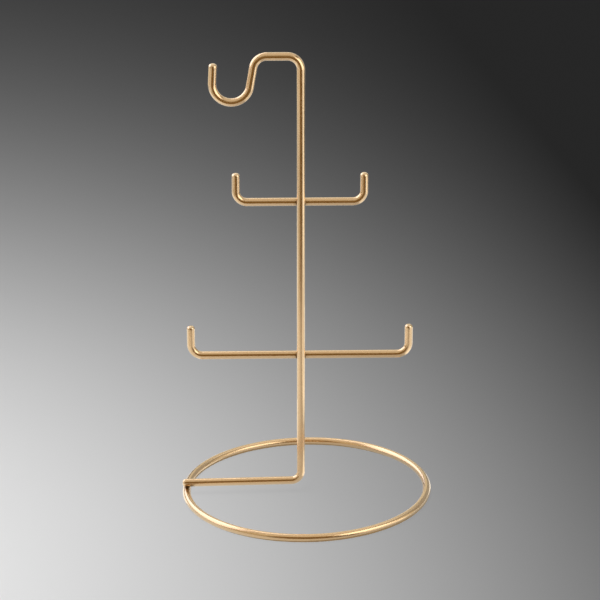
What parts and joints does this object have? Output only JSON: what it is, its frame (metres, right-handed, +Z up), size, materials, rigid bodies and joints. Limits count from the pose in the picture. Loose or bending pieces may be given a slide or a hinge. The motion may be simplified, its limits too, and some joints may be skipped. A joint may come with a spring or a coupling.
{
  "type": "jewelry stand",
  "caption": "Open jewellery stand bent from round metal rod, with a ring base, an upright, hanging arms with upturned ends and a top hook.",
  "frame": {"origin": "on the table, at the middle of the base ring", "axes": "+Z up, +X to the right along the arms with the hook and the foot towards -X, and +Y away from the front, where the arms pass behind the upright"},
  "size_m": [0.157, 0.157, 0.2854],
  "materials": {
    "satin_gold_rod": "satin gold coat",
    "satin_gold_weld": "satin gold coat over a weld bead"
  },
  "bodies": {
    "root": {"base_ring": "satin_gold_rod", "ring_butt_weld": "satin_gold_weld", "upright_rod": "satin_gold_rod", "foot_weld": "satin_gold_weld", "upper_arm": "satin_gold_rod", "upper_arm_weld": "satin_gold_weld", "lower_arm": "satin_gold_rod", "lower_arm_weld": "satin_gold_weld"}
  },
  "joints": []
}
